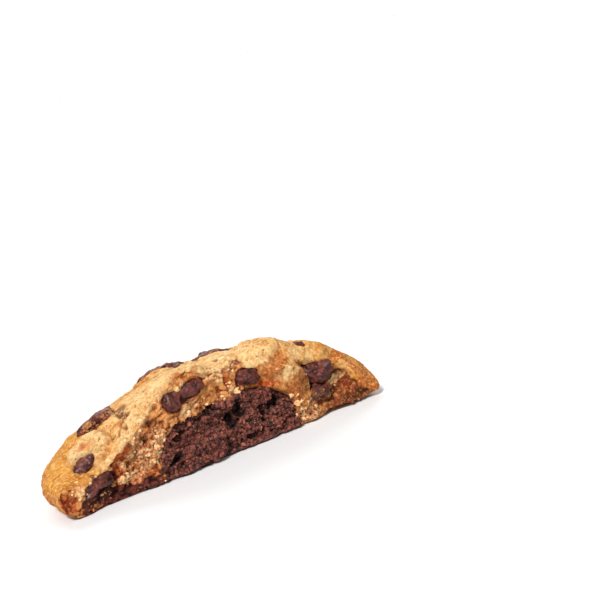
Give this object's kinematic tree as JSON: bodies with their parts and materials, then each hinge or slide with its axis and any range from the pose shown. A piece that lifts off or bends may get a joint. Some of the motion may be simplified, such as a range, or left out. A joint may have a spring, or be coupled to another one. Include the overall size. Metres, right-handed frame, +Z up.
{
  "type": "brookie half",
  "caption": "Half of a thick round chocolate chunk cookie baked over a brownie core, torn in two, resting on its flat base with the torn face to the side.",
  "frame": {"origin": "middle of the bounding box at the height of the flat base", "axes": "+X along the tear, +Y from the torn face into the cookie, +Z up through the crust"},
  "size_m": [0.0898, 0.0484, 0.0237],
  "materials": {
    "crust": "baked golden crust, matte with a faint sheen",
    "brownie": "moist dark crumb",
    "chocolate": "softened dark chocolate, satin to glossy"
  },
  "bodies": {
    "root": {"cookie": "crust", "brownie": "brownie", "chunk_01": "chocolate", "chunk_02": "chocolate", "chunk_03": "chocolate", "chunk_04": "chocolate", "chunk_05": "chocolate", "chunk_06": "chocolate", "chunk_07": "chocolate", "chunk_08": "chocolate", "chunk_09": "chocolate", "chunk_10": "chocolate", "chunk_11": "chocolate", "chunk_12": "chocolate", "chunk_13": "chocolate", "chunk_14": "chocolate", "chunk_15": "chocolate", "chunk_16": "chocolate", "chunk_17": "chocolate"}
  },
  "joints": []
}
